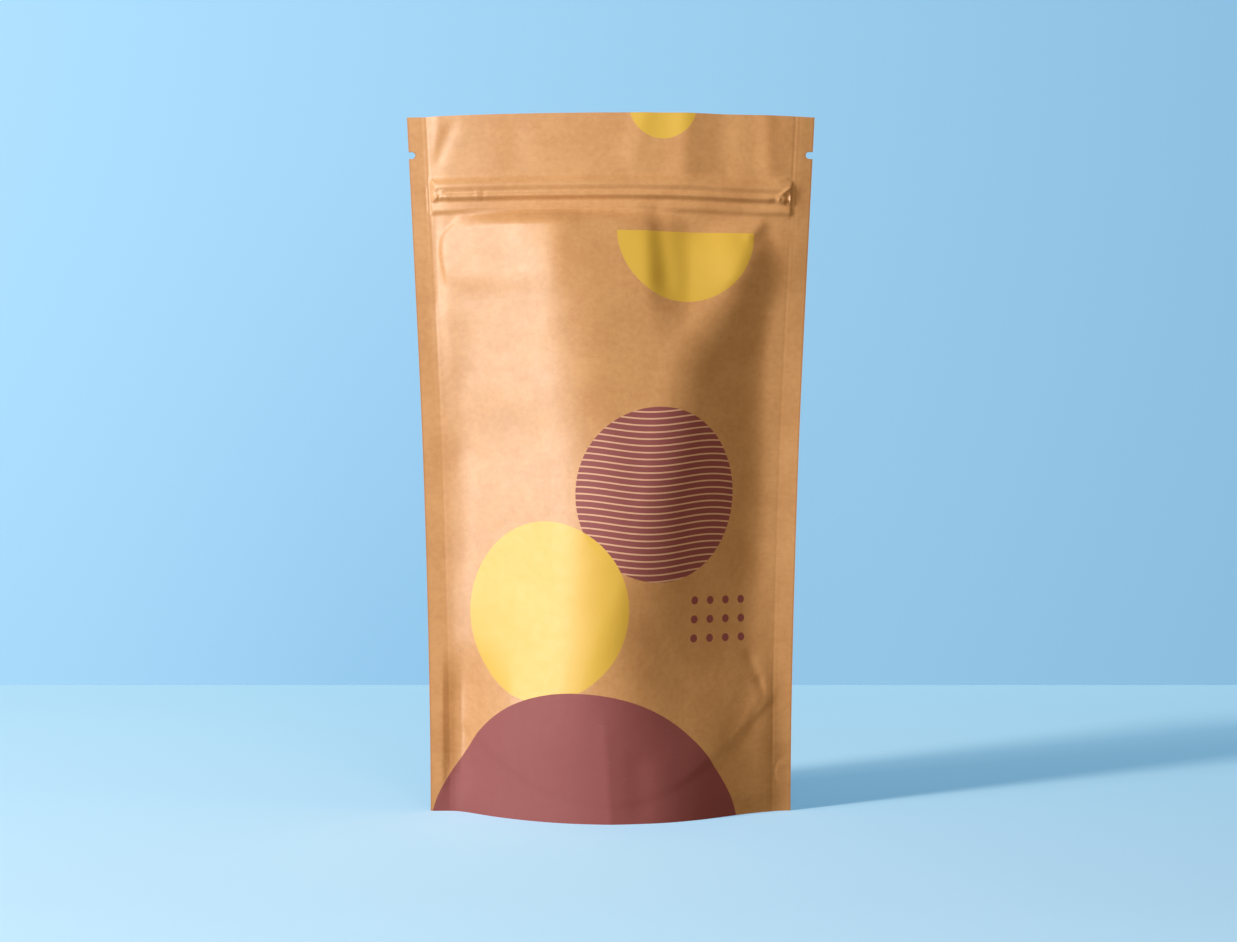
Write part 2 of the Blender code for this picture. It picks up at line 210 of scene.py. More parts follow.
# Folds of the filled front, listed the same way
FRONT_FOLDS = [
    (-21.5, 230.0, -21.0, 196.0, 5.5, 0.45),
    (-44.0, 226.0, -36.0, 205.0, 7.0, -0.3),
    (-67.5, 228.0, -66.6, 194.0, 1.5, -0.55),
    (17.5, 234.0, 21.0, 196.0, 4.2, -1.1),
    (47.0, 226.0, 49.0, 200.0, 9.0, 1.2),
    (59.5, 227.0, 51.5, 219.0, 2.2, 0.55),
    (26.0, 223.5, 72.0, 222.5, 5.5, -1.3),
    (-56.5, 33.0, -54.0, 20.0, 1.3, -0.35),
    (-52.3, 20.5, -53.1, 14.5, 0.7, -0.3),
    (10.0, 26.0, 11.5, 0.0, 5.0, -0.5),
    (52.4, 62.0, 58.6, 47.0, 1.8, -0.45),
    (58.8, 48.0, 40.0, 17.0, 1.3, 0.16),
    (-69.5, 8.2, -63.5, 10.6, 0.7, 0.25),
]

# Sharp folds: the middle crease of the foot and the pinched corner at its right
SHARP_FRONT_FOLDS = [
    (0.6, -8.0, -2.4, 40.0, 3.6, 0.5),
    (56.5, 52.0, 59.0, 45.0, 1.1, -0.4),
]

# Folds of the filled back
BACK_FOLDS = [
    (-30.0, 232.0, -18.0, 190.0, 6.0, -0.8),
    (26.0, 228.0, 34.0, 196.0, 5.0, 0.8),
    (0.0, 222.0, 4.0, 206.0, 5.0, -0.6),
    (-57.0, 60.0, -58.0, 14.0, 3.4, -1.4),
    (57.0, 58.0, 58.0, 14.0, 3.4, -1.5),
    (-2.0, 40.0, 1.0, -6.0, 4.0, 0.8),
    (-46.0, 150.0, -50.0, 96.0, 5.0, -0.5),
    (44.0, 130.0, 48.0, 84.0, 5.0, -0.4),
]

# Marks where the zip is crushed flat at its two ends: x, z, half width, half height, rise
ZIP_MARKS = [
    (-66.2, 236.2, 0.5, 1.6, -0.45),
    (-65.0, 238.0, 1.0, 0.9, 0.4),
    (-64.4, 235.4, 0.6, 0.7, -0.35),
    (-63.3, 236.6, 0.4, 1.2, -0.4),
    (-62.4, 236.8, 0.4, 1.2, 0.35),
    (-50.5, 236.6, 0.4, 2.1, 0.4),
    (-49.7, 236.2, 0.4, 1.9, -0.5),
    (-48.6, 235.2, 0.5, 0.9, 0.3),
    (63.1, 234.7, 0.7, 0.9, -0.9),
    (64.6, 235.2, 0.45, 1.1, 0.4),
    (66.4, 234.4, 0.5, 0.7, 0.3),
    (67.9, 235.4, 0.75, 1.6, -0.9),
]
ZIP_CURL = [(64.5, 236.2, 69.4, 240.2, 0.6, 0.5), (63.0, 242.5, 68.6, 243.6, 0.8, 0.4)]

# The facets that close the zip's two ends rise from just inside the seals, steeper at the right
ZIP_LEFT_END_SLOPE = 0.68
ZIP_RIGHT_END_SLOPE = 1.8
ZIP_END_OUTSIDE = 0.4
ZIP_END_ROUNDING = 0.2
ZIP_ON_SEALS = 0.06

# Each fold fades out from a little past its end to a little inside it, as shares of its length
FADE_PAST = 0.12
FADE_INSIDE = 0.22

# The camera, worked out from the photograph's outline and horizon
PHOTO_WIDTH = 1237
PHOTO_HEIGHT = 942
FOCAL_PIXELS = 1981.0
HORIZON_ROW = 500.0
CAMERA_X = 3.0
CAMERA_DISTANCE = 767.0
CAMERA_HEIGHT = 120.0
SENSOR_WIDTH = 36.0


def smoothstep(low, high, value):
    """Rise from 0 at low to 1 at high, level at both ends."""
    t = np.clip((value - low) / (high - low), 0.0, 1.0)
    return t * t * (3.0 - 2.0 * t)


def smooth_max(a, b, radius):
    """The larger of two values, rounded where they cross."""
    overlap = np.maximum(radius - np.abs(a - b), 0.0) / radius
    return np.maximum(a, b) + overlap * overlap * radius / 4.0


def smooth_min(a, b, radius):
    """The smaller of two values, rounded where they cross."""
    return -smooth_max(-a, -b, radius)


def hill(value, centre, width):
    """A smooth hill of height 1, about twice the width across."""
    return np.exp(-((value - centre) / width) ** 2)


def along(table, place):
    """Read a table of (place, value) pairs as one smooth curve."""
    places, values = np.array(table, float).T
    slopes = np.diff(values) / np.diff(places)
    tangents = np.concatenate([slopes[:1], (slopes[:-1] + slopes[1:]) / 2.0, slopes[-1:]])
    place = np.clip(place, places[0], places[-1])
    index = np.clip(np.searchsorted(places, place, side="right") - 1, 0, len(places) - 2)
    span = places[index + 1] - places[index]
    t = (place - places[index]) / span
    return ((2 * t ** 3 - 3 * t ** 2 + 1) * values[index]
            + (t ** 3 - 2 * t ** 2 + t) * span * tangents[index]
            + (3 * t ** 2 - 2 * t ** 3) * values[index + 1]
            + (t ** 3 - t ** 2) * span * tangents[index + 1])


def soft_noise(x, z, cell, seed):
    """Smooth random waves between about -1 and 1, with hills about one cell apart."""
    rng = np.random.default_rng(seed)
    lattice = rng.uniform(-1.0, 1.0, (64, 64))
    across, up = x / cell + 24.0, z / cell + 4.0
    i, j = np.floor(across).astype(int), np.floor(up).astype(int)
    s, t = across - i, up - j
    s, t = s ** 3 * (s * (s * 6 - 15) + 10), t ** 3 * (t * (t * 6 - 15) + 10)
    i, j = i % 63, j % 63
    low = lattice[i, j] * (1 - s) + lattice[i + 1, j] * s
    high = lattice[i, j + 1] * (1 - s) + lattice[i + 1, j + 1] * s
    return low * (1 - t) + high * t


def folds(x, z, lines, sharp=False):
    """Height of ridges and valleys that run along straight lines and fade out at both ends."""
    height = np.zeros_like(x)
    for x0, z0, x1, z1, width, rise in lines:
        run_x, run_z = x1 - x0, z1 - z0
        length = math.hypot(run_x, run_z)
        share = ((x - x0) * run_x + (z - z0) * run_z) / length ** 2
        off = ((x - x0) * run_z - (z - z0) * run_x) / length
        fade = (smoothstep(-FADE_PAST, FADE_INSIDE, share)
                * smoothstep(1.0 + FADE_PAST, 1.0 - FADE_INSIDE, share))
        if sharp:
            profile = np.exp(-(np.sqrt(off ** 2 + 0.2) - 0.45) / width)
        else:
            profile = hill(off, 0.0, width)
        height = height + rise * profile * fade
    return height


def half_width(z):
    """Half the distance between the two side edges."""
    return FOOT_HALF_WIDTH + (TOP_HALF_WIDTH - FOOT_HALF_WIDTH) * (z / HEIGHT) ** WIDENING_POWER


def inside_seals(x, z, run_in, run_out):
    """1 between the side seals and 0 on them, changing from run_in inside to run_out outside."""
    inner = half_width(z) - SEAL_WIDTH
    return 1.0 - smoothstep(inner - run_in, inner + run_out, np.abs(x))


def bow(x, z):
    """Forward bow of the seals and the header, the same for both walls."""
    return along(BOW_PROFILE, x / half_width(z)) * smoothstep(BOW_FADE_FROM, BOW_FADE_TO, z)


def header_lean(z):
    """How far the open header leans back over the zip."""
    share = np.maximum(0.0, (z - HEADER_LEAN_FROM) / (HEIGHT - HEADER_LEAN_FROM))
    return HEADER_LEAN * share ** HEADER_LEAN_POWER


def shoulder(z, start, end):
    """Share of the filling's depth that is left as it rounds off under the zip."""
    t = np.clip((z - start) / (end - start), 0.0, 1.0)
    return np.cos(math.pi / 2.0 * t)


def front_face_shape(x, z, depth):
    """Section of the filled front: left flank, broad face and steep right flank."""
    left_foot = along(LEFT_FLANK_FOOT, z)
    puff = PUFF_DEPTH * smoothstep(*PUFF_UP, z) * smoothstep(0.0, PUFF_WIDTH, x - left_foot)
    left = bow(left_foot, z) + along(LEFT_FLANK_SLOPES, z) * (x - left_foot) + puff
    step = UPPER_STEP * smoothstep(*UPPER_STEP_ACROSS, x) * smoothstep(*UPPER_STEP_UP, z)
    face = depth + FACE_LIFT - FACE_SLOPE * (x - FACE_PEAK_X) - step
    right = along(RIGHT_FLANK_SLOPES, z) * (along(RIGHT_FLANK_FOOT, z) - x)
    faces = smooth_min(left, face, along(LEFT_RIDGE_ROUNDINGS, z))
    return smooth_min(faces, right, along(RIGHT_RIDGE_ROUNDINGS, z))


def back_face_shape(x, z, depth):
    """Section of the filled back: a flat middle between two even flanks."""
    inner = half_width(z) - SEAL_WIDTH
    flank = (depth + BACK_FLANK_LIFT) * (inner - np.abs(x)) / (inner - BACK_FACE_HALF_WIDTH)
    return smooth_min(flank, depth + BACK_FACE_LIFT, BACK_RIDGE_ROUNDING)


def bottom_seal_recess(x, z):
    """How far the wall is drawn in below the arc of the bottom seal."""
    arc = ARC_MIDDLE + ARC_RISE * (np.abs(x) / ARC_AT_X) ** ARC_POWER
    arc = arc + ARC_RIGHT_LIFT * smoothstep(0.0, ARC_AT_X, x)
    below = smoothstep(arc + ARC_ROUNDING, arc - ARC_EDGE, z)
    share = ARC_LEAST_SHARE + ARC_LEFT_SHARE * smoothstep(*ARC_LEFT_ACROSS, -x)
    share = share + ARC_RIGHT_SHARE * smoothstep(*ARC_RIGHT_ACROSS, x)
    return ARC_STEP * below * share


def fill_depth(x, z, front):
    """How far one wall stands out from the bowed plane of the seals."""
    right_share = smoothstep(*RIGHT_SHARE_ACROSS, x)
    body_from = BODY_SHAPE_FROM + (RIGHT_BODY_SHAPE_FROM - BODY_SHAPE_FROM) * right_share
    to_body = smoothstep(FOOT_SHAPE_TO, body_from, z)
    if front:
        depth = along(FRONT_DEPTHS, z)
        body = front_face_shape(x, z, depth) - bow(x, z)
        top = shoulder(z, FRONT_SHOULDER_FROM, FRONT_SHOULDER_TO)
    else:
        depth = along(BACK_FILL, z)
        body = back_face_shape(x, z, depth)
        top = shoulder(z, BACK_SHOULDER_FROM, BACK_SHOULDER_TO)
    foot = depth * (1.0 - (x / FOOT_ARC_HALF_WIDTH) ** 2)
    section = (1.0 - to_body) * foot + to_body * body
    section = section - bottom_seal_recess(x, z)
    flare = smoothstep(*FOOT_FLARE_UP, z) * smoothstep(*FOOT_FLARE_ACROSS, x)
    crisp = (SEAL_ROUNDING - CRISP_ROUNDING) * smoothstep(*CRISP_UP, z)
    left = LEFT_FOOT_ROUNDING * smoothstep(*LEFT_FOOT_UP, z) - crisp
    rounding = SEAL_ROUNDING + FOOT_FLARE_ROUNDING * flare + left * front * (x < 0.0)
    return smooth_max(section, 0.0, rounding) * top


def foot_valley(x, z):
    """How far the film of both walls is drawn back beside the foot's left end."""
    corners, depths = zip(*FOOT_VALLEY)
    fade = smoothstep(*FOOT_VALLEY_FROM, z) * smoothstep(*FOOT_VALLEY_TO, z)
    return np.interp(x, corners, depths) * fade


def zip_relief(x, z, front):
    """Height of the zip's bead and flanges, pressed flat where they run into the seals."""
    level = z - ZIP_BEAD_Z + ZIP_SAG * smoothstep(*ZIP_SAG_ACROSS, x)
    from_seal = half_width(z) - SEAL_WIDTH + ZIP_END_OUTSIDE - np.abs(x)
    end_slope = np.where(x < 0.0, ZIP_LEFT_END_SLOPE, ZIP_RIGHT_END_SLOPE)
    end_facet = ZIP_ON_SEALS + end_slope * np.maximum(0.0, from_seal)
    profile = along(ZIP_PROFILE, level)
    relief = np.maximum(0.0, smooth_min(profile, end_facet, ZIP_END_ROUNDING))
    if front:
        for mark_x, mark_z, width, height, rise in ZIP_MARKS:
            spot = np.exp(-((x - mark_x) / width) ** 4 - ((z - mark_z) / height) ** 4)
            relief = relief + rise * spot
        relief = relief + folds(x, z, ZIP_CURL)
    return relief


def seal_lines(x, z):
    """The fine groove where each side seal ends and the pressed lines beside it."""
    inside = half_width(z) - np.abs(x) - SEAL_WIDTH
    upper_half = smoothstep(*UPPER_HALF_FROM, z)
    beside_zip = smoothstep(*BESIDE_ZIP_FROM, z) * smoothstep(*BESIDE_ZIP_TO, z)
    height = np.zeros_like(x)
    for place, width, rise, upper_rise, zip_rise in SEAL_LINES:
        line_rise = rise + upper_rise * upper_half + zip_rise * beside_zip
        height = height + line_rise * hill(inside, place, width)
    return height


def spot_seals(x, z):
    """Half-round spots at the side edges, pressed flat near the foot."""
    distance = np.hypot(np.abs(x) - FOOT_HALF_WIDTH, z - SPOT_SEAL_Z)
    outside = distance - SPOT_SEAL_RADIUS
    groove = hill(outside, SPOT_GROOVE_OUTSIDE, SPOT_GROOVE_HALF_WIDTH)
    return SPOT_SEAL_RISE * (smoothstep(*SPOT_SEAL_EDGE, outside) - groove)


def foot_curl(x, z):
    """How the front wall rolls in just over the floor, most at its right end."""
    depth = sum(most * hill(x, place, width) for place, width, most in FOOT_CURLS)
    return -depth * smoothstep(FOOT_CURL_TOP, 0.0, z)


def paper_waves(x, z, seed):
    """The slight unevenness of filled paper film."""
    waves = np.zeros_like(x)
    for i, (cell, rise) in enumerate(PAPER_WAVES):
        waves = waves + rise * soft_noise(x, z, cell, seed + i)
    on_seals = WAVES_ON_SEALS + (1.0 - WAVES_ON_SEALS) * inside_seals(x, z, *INSIDE_RUN)
    return on_seals * waves * smoothstep(0.0, WAVES_FADE_TO, z)


def wall_y(x, z, front):
    """Y of the outer surface of the front or the back wall."""
    inside = inside_seals(x, z, *INSIDE_RUN)
    half_thickness = SEAL_THICKNESS / 2.0 + inside * MOUTH_GAP / 2.0
    out = half_thickness + fill_depth(x, z, front) + zip_relief(x, z, front)
    out = out + seal_lines(x, z) + spot_seals(x, z)
    if front:
        out = out + folds(x, z, FRONT_FOLDS) + folds(x, z, SHARP_FRONT_FOLDS, sharp=True)
        out = out + foot_curl(x, z)
    else:
        out = out + folds(x, z, BACK_FOLDS)
    out = out + paper_waves(x, z, FRONT_SEED if front else BACK_SEED)
    out = smooth_max(out, LEAST_SHARE * half_thickness, LEAST_ROUNDING)
    turn = SEAL_TURN * np.maximum(0.0, x - SEAL_TURN_FROM) * smoothstep(*SEAL_TURN_UP, z)
    middle = header_lean(z) + foot_valley(x, z) + turn - bow(x, z) - folds(x, z, HEADER_FOLDS)
    return middle - out if front else middle + out


def grid_levels():
    """Heights of the grid's rows: close together at the foot, the zip and the notches."""
    low = HEIGHT - NOTCH_BELOW_TOP - NOTCH_RADIUS
    high = HEIGHT - NOTCH_BELOW_TOP + NOTCH_RADIUS
    stretches = [(0.0, 6.0, 0.6), (6.0, 66.0, 1.1), (66.0, 196.0, 1.6), (196.0, 218.0, 1.0),
                 (218.0, 247.0, 0.4), (247.0, low - NOTCH_STEP, 1.0),
                 (low + NOTCH_STEP, high - NOTCH_STEP, 0.2), (high + NOTCH_STEP, HEIGHT, 1.0)]
    levels = []
    for start, end, step in stretches:
        count = max(1, round((end - start) / step))
        levels.extend(np.linspace(start, end, count + 1))
    return np.unique(np.round(levels, 4))


# Columns of the grid: shares of the seal's width from its edge, and distances from its inner line
SEAL_SHARES = [0.0, 0.07, 0.16, 0.28, 0.4, 0.52, 0.62, 0.7, 0.75, 0.8, 0.85, 0.9, 0.95]
NEAR_SEAL = [0.0, 0.35, 0.7, 1.1, 1.5, 1.95, 2.4, 2.9, 3.5, 4.2, 5.0, 5.9]
BODY_COLUMNS = 106


def top_droop(x, z):
    """How much lower the header's corners are cut than its middle."""
    outward = (np.abs(x) / TOP_HALF_WIDTH) ** CORNER_DROOP_POWER
    return CORNER_DROOP * outward * smoothstep(CORNER_DROOP_FROM, HEIGHT, z)


def side_edge(z, side):
    """X of one side edge, drawn in where the tear notch is."""
    from_notch = np.abs(z - (HEIGHT - NOTCH_BELOW_TOP))
    inside = LEFT_NOTCH_INSIDE if side < 0 else RIGHT_NOTCH_INSIDE
    bite = inside + np.sqrt(np.maximum(0.0, NOTCH_RADIUS ** 2 - from_notch ** 2))
    return half_width(z) - np.where(from_notch < NOTCH_RADIUS, bite, 0.0)


def column_positions(z):
    """X of each grid column at each height, as rows of a table."""
    inner = half_width(z) - SEAL_WIDTH
    halves = []
    for side in (-1, 1):
        edge = side_edge(z, side)
        seal = edge[:, None] + (inner - edge)[:, None] * np.array(SEAL_SHARES)
        near = inner[:, None] - np.array(NEAR_SEAL)
        halves.append(side * np.concatenate([seal, near], axis=1))
    left, right = halves
    share = np.linspace(0.0, 1.0, BODY_COLUMNS + 1)[1:-1]
    body = left[:, -1:] + (right[:, -1:] - left[:, -1:]) * share
    return np.concatenate([left, body, right[:, ::-1]], axis=1)


# The square bake map, in millimetres: the two walls side by side, the rest above them
BAKE_SIDE = 338.0
FRONT_MIDDLE = 82.5
BACK_MIDDLE = 249.0
LEFT_EDGE_STRIP = 165.0
RIGHT_EDGE_STRIP = 332.5
UNDERSIDE_CORNER = (71.5, 303.0)
MOUTH_CORNER = (249.0, 271.0)
BACK_PRINT_MIDDLE = 160.0
UNDERSIDE_PRINT_MIDDLE = -60.0
PRINTED, PLAIN = 0, 1

# Millimetres of the flat film to one unit of the UV map that carries the print
FLAT_UNIT = 100.0


def quads_between(first, second, flip):
    """Corner numbers of the quads between two rows."""
    quads = np.stack([first[:-1], first[1:], second[1:], second[:-1]], axis=-1)
    return quads[:, ::-1] if flip else quads


class Skin:
    """Collects the points of the pouch's surface, their places on the flat film, and its faces."""

    def __init__(self):
        self.points, self.places = [], []
        self.corners, self.corner_places, self.kinds = [], [], []
        self.point_count = self.place_count = 0

    def add_points(self, x, y, z, rim=99.0):
        """Add a row or table of points, rim being how far in from the side edge they are."""
        table = np.stack(np.broadcast_arrays(x, y, z, rim), axis=-1)
        self.points.append(table.reshape(-1, 4))
        numbers = np.arange(self.point_count, self.point_count + table[..., 0].size)
        self.point_count += numbers.size
        return numbers.reshape(table.shape[:-1])

    def add_places(self, u, v, bake_u, bake_v):
        """Add the places of points on the flat film and on the square bake map."""
        table = np.stack(np.broadcast_arrays(u, v, bake_u, bake_v), axis=-1)
        self.places.append(table.reshape(-1, 4))
        numbers = np.arange(self.place_count, self.place_count + table[..., 0].size)
        self.place_count += numbers.size
        return numbers.reshape(table.shape[:-1])

    def bridge(self, points, places, kind, flip):
        """Fill a table of point numbers with quads, row by row."""
        for row in range(len(points) - 1):
            corners = quads_between(points[row], points[row + 1], flip)
            self.corners.extend(corners.tolist())
            self.corner_places.extend(quads_between(places[row], places[row + 1], flip).tolist())
            self.kinds.extend([kind] * len(corners))

    def add_face(self, corners, places, kind, flip):
        """Add one face with many corners."""
        way = -1 if flip else 1
        self.corners.append([int(corner) for corner in corners[::way]])
        self.corner_places.append([int(place) for place in places[::way]])
        self.kinds.append(kind)


def flat_positions(x, y):
    """Distance along each row of the wall, from the middle, as the film lies when flat."""
    steps = np.hypot(np.diff(x, axis=1), np.diff(y, axis=1))
    length = np.concatenate([np.zeros((len(x), 1)), np.cumsum(steps, axis=1)], axis=1)
    return length - length[:, -1:] / 2.0


def underside_rows(x, front_y, back_y):
    """Y and z of the rims, the groove inside them and the flattened gusset between."""
    scale = np.minimum(1.0, (back_y - front_y) / 2.0 / GUSSET_REACH)
    rows = [(front_y + inset * scale, height * scale) for inset, height in RIM_SECTION]
    first, last = front_y + GUSSET_REACH * scale, back_y - GUSSET_REACH * scale
    for share in np.linspace(0.0, 1.0, GUSSET_ROWS):
        crease = GUSSET_CREASE * hill(share, 0.5, GUSSET_CREASE_SHARE)
        rows.append((first + (last - first) * share, crease * scale))
    rows += [(back_y - inset * scale, height * scale) for inset, height in RIM_SECTION[::-1]]
    return np.array([row[0] for row in rows]), np.array([row[1] for row in rows])


def mouth_rows(x, levels, front_y, back_y):
    """X, y and z of the plies' top edges and of the narrow slot between them."""
    depths = [0.0, 0.0, 1.0, 3.0, 7.0, 12.0, MOUTH_DEPTH]
    insets = [0.0] + [PLY] * (len(depths) - 1)
    closed = np.abs(x[-1]) > half_width(HEIGHT) - SEAL_WIDTH - MOUTH_END_MARGIN
    middle = (front_y[-1] + back_y[-1]) / 2.0
    sides = []
    for wall, way in ((front_y, 1.0), (back_y, -1.0)):
        side = []
        for depth, inset in zip(depths, insets):
            level = np.interp(HEIGHT - depth, levels, np.arange(len(levels)))
            low = int(level)
            high = min(low + 1, len(levels) - 1)
            share = level - low
            row_x = x[low] * (1 - share) + x[high] * share
            row_y = wall[low] * (1 - share) + wall[high] * share + way * inset
            row_z = np.full(len(row_x), HEIGHT - depth)
            if inset:
                row_x = np.where(closed, x[-1], row_x)
                row_y = np.where(closed, middle + (row_y - middle) * MOUTH_END_SHARE, row_y)
                row_z = np.where(closed, HEIGHT - MOUTH_END_DEPTH, row_z)
            side.append((row_x, row_y, row_z - top_droop(row_x, row_z)))
        sides.append(side)
    rows = sides[0] + sides[1][::-1]
    return [np.array([row[part] for row in rows]) for part in range(3)]


def add_between_walls(skin, x, y, z, first, last, places, flip):
    """Join the walls' end rows through the rows between them, and return all point numbers."""
    inner = skin.add_points(x[1:-1], y[1:-1], z[1:-1])
    numbers = np.concatenate([first[None], inner, last[None]])
    skin.bridge(numbers, places, PLAIN, flip)
    return numbers


def add_side(skin, column, walls, z, strip_u, under, mouth, flip):
    """Close one side edge between the walls, from the underside to the mouth."""
    (front, front_y), (back, back_y) = walls
    gap = back_y[:, column] - front_y[:, column]
    points = np.stack([front[:, column], back[:, column]])
    places = np.stack([skin.add_places(z, 0.0, strip_u, z),
                       skin.add_places(z, gap, strip_u + gap, z)])
    skin.bridge(points[:, 1:-1], places[:, 1:-1], PLAIN, flip)
    for end, strip, inner in ((0, under, 1), (-1, mouth, -2)):
        across = np.linspace(0.0, gap[end], len(strip))
        strip_places = skin.add_places(z[end], across, strip_u + across, z[end])
        corners = [points[0, inner], *strip[:, column], points[1, inner]]
        corner_places = [places[0, inner], *strip_places, places[1, inner]]
        skin.add_face(corners, corner_places, PLAIN, flip != (end == 0))


def pouch_skin():
    """The whole outer surface of the pouch, with its mouth and underside."""
    levels = grid_levels()
    x = column_positions(levels)
    z = np.repeat(levels[:, None], x.shape[1], axis=1)
    edges = np.where(x < 0.0, side_edge(levels, -1)[:, None], side_edge(levels, 1)[:, None])
    skin = Skin()
    walls = []
    for front in (True, False):
        y = wall_y(x, z, front)
        u = flat_positions(x, y)
        if front:
            places = skin.add_places(u, z, FRONT_MIDDLE + u, z)
        else:
            places = skin.add_places(BACK_PRINT_MIDDLE - u, z, BACK_MIDDLE - u, z)
        numbers = skin.add_points(x, y, z - top_droop(x, z), np.abs(edges) - np.abs(x))
        skin.bridge(numbers, places, PRINTED, flip=not front)
        walls.append((numbers, y))
    (front_numbers, front_y), (back_numbers, back_y) = walls

    under_y, under_z = underside_rows(x[0], front_y[0], back_y[0])
    under_x = np.repeat(x[:1], len(under_y), axis=0)
    corner_u, corner_v = UNDERSIDE_CORNER
    places = skin.add_places(under_x, under_y + UNDERSIDE_PRINT_MIDDLE,
                             corner_u + under_x, corner_v + under_y)
    under = add_between_walls(skin, under_x, under_y, under_z, front_numbers[0], back_numbers[0],
                              places, flip=True)

    mouth_x, mouth_y, mouth_z = mouth_rows(x, levels, front_y, back_y)
    steps = np.hypot(np.diff(mouth_y, axis=0), np.diff(mouth_z, axis=0)).max(axis=1)
    down = np.concatenate([[0.0], np.cumsum(steps)])[:, None]
    corner_u, corner_v = MOUTH_CORNER
    places = skin.add_places(mouth_x, HEIGHT - down, corner_u + x[-1], corner_v + down)
    mouth = add_between_walls(skin, mouth_x, mouth_y, mouth_z, front_numbers[-1], back_numbers[-1],
                              places, flip=False)

    add_side(skin, 0, walls, levels, LEFT_EDGE_STRIP, under, mouth, flip=False)
    add_side(skin, -1, walls, levels, RIGHT_EDGE_STRIP, under, mouth, flip=True)
    return skin


def pouch_mesh():
    """Blender mesh of the skin, with its places on the film and on the bake map as UV maps."""
    skin = pouch_skin()
    points = np.concatenate(skin.points)
    places = np.concatenate(skin.places)
    mesh = bpy.data.meshes.new("pouch_skin")
    mesh.from_pydata((points[:, :3] * MM).tolist(), [], skin.corners)
    mesh.polygons.foreach_set("material_index", np.array(skin.kinds, np.int32))
    order = np.concatenate([np.array(face) for face in skin.corner_places])
    flat = mesh.uv_layers.new(name="flat")
    flat.uv.foreach_set("vector", (places[order, :2] / FLAT_UNIT).astype(np.float32).ravel())
    bake = mesh.uv_layers.new(name="OFBake")
    bake.uv.foreach_set("vector", (places[order, 2:] / BAKE_SIDE).astype(np.float32).ravel())
    rim = mesh.attributes.new("rim", "FLOAT", "POINT")
    rim.data.foreach_set("value", points[:, 3].astype(np.float32))
    mesh.shade_smooth()
    mesh.set_sharp_from_angle(angle=math.radians(50.0))
    mesh.update()
    return mesh


class Nodes:
    """Short names for building a material's node tree."""

    def __init__(self, name):
        self.material = bpy.data.materials.new(name)
        self.material.use_nodes = True
        self.tree = self.material.node_tree
        self.shader = self.tree.nodes["Principled BSDF"]
        uv = self.tree.nodes.new("ShaderNodeUVMap")
        uv.uv_map = "flat"
        self.flat = self.vector("SCALE", uv.outputs[0], scale=FLAT_UNIT)
        self.drawn = self.flat
        self.wine_share = 0.0
        parts = self.tree.nodes.new("ShaderNodeSeparateXYZ")
        self.tree.links.new(self.flat, parts.inputs[0])
        self.u, self.v = parts.outputs[0], parts.outputs[1]

    def put(self, socket, value):
        if isinstance(value, bpy.types.NodeSocket):
            self.tree.links.new(value, socket)
        else:
            socket.default_value = value

    def math(self, operation, *values, clamp=False):
        node = self.tree.nodes.new("ShaderNodeMath")
        node.operation = operation
        node.use_clamp = clamp
        for socket, value in zip(node.inputs, values):
            self.put(socket, value)
        return node.outputs[0]

    def vector(self, operation, a, b=None, scale=None):
        node = self.tree.nodes.new("ShaderNodeVectorMath")
        node.operation = operation
        self.put(node.inputs[0], a)
        if b is not None:
            self.put(node.inputs[1], b)
        if scale is not None:
            self.put(node.inputs["Scale"], scale)
        return node.outputs["Value" if operation in ("DISTANCE", "LENGTH") else "Vector"]

    def mix(self, share, a, b):
        node = self.tree.nodes.new("ShaderNodeMix")
        node.data_type = "RGBA"
        self.put(node.inputs["Factor"], share)
        self.put(node.inputs["A"], a)
        self.put(node.inputs["B"], b)
        return node.outputs["Result"]

    def noise(self, place, scale, detail=2.0, roughness=0.5):
        node = self.tree.nodes.new("ShaderNodeTexNoise")
        node.inputs["Scale"].default_value = scale
        node.inputs["Detail"].default_value = detail
        node.inputs["Roughness"].default_value = roughness
        self.tree.links.new(place, node.inputs["Vector"])
        return node.outputs[0]

    def turned(self, angle, stretch, shift=0.0):
        """Flat positions turned by an angle in degrees and squeezed along each axis."""
        node = self.tree.nodes.new("ShaderNodeMapping")
        node.inputs["Location"].default_value = (shift, 0.0, 0.0)
        node.inputs["Rotation"].default_value = (0.0, 0.0, math.radians(angle))
        node.inputs["Scale"].default_value = stretch
        self.tree.links.new(self.flat, node.inputs["Vector"])
        return node.outputs[0]

    def attribute(self, name):
        node = self.tree.nodes.new("ShaderNodeAttribute")
        node.attribute_name = name
        return node.outputs["Fac"]

    def ramp(self, value, low, high):
        """0 below low and 1 above high."""
        node = self.tree.nodes.new("ShaderNodeMapRange")
        node.interpolation_type = "SMOOTHSTEP"
        self.put(node.inputs["Value"], value)
        node.inputs["From Min"].default_value = low
        node.inputs["From Max"].default_value = high
        return node.outputs[0]

    def share(self, value, low, high, most):
        """0 below low and the given most above high."""
        return self.math("MULTIPLY", self.ramp(value, low, high), most)

    def disc(self, u, v, radius):
        """1 inside a circle of the flat film and 0 outside, with a crisp edge."""
        distance = self.vector("DISTANCE", self.drawn, (u, v, 0.0))
        return self.ramp(distance, radius + EDGE, radius - EDGE)

    def most(self, *masks):
        """The largest of several masks."""
        result = masks[0]
        for mask in masks[1:]:
            result = self.math("MAXIMUM", result, mask)
        return result


# Half the width of the print's soft edges, in millimetres
EDGE = 0.09

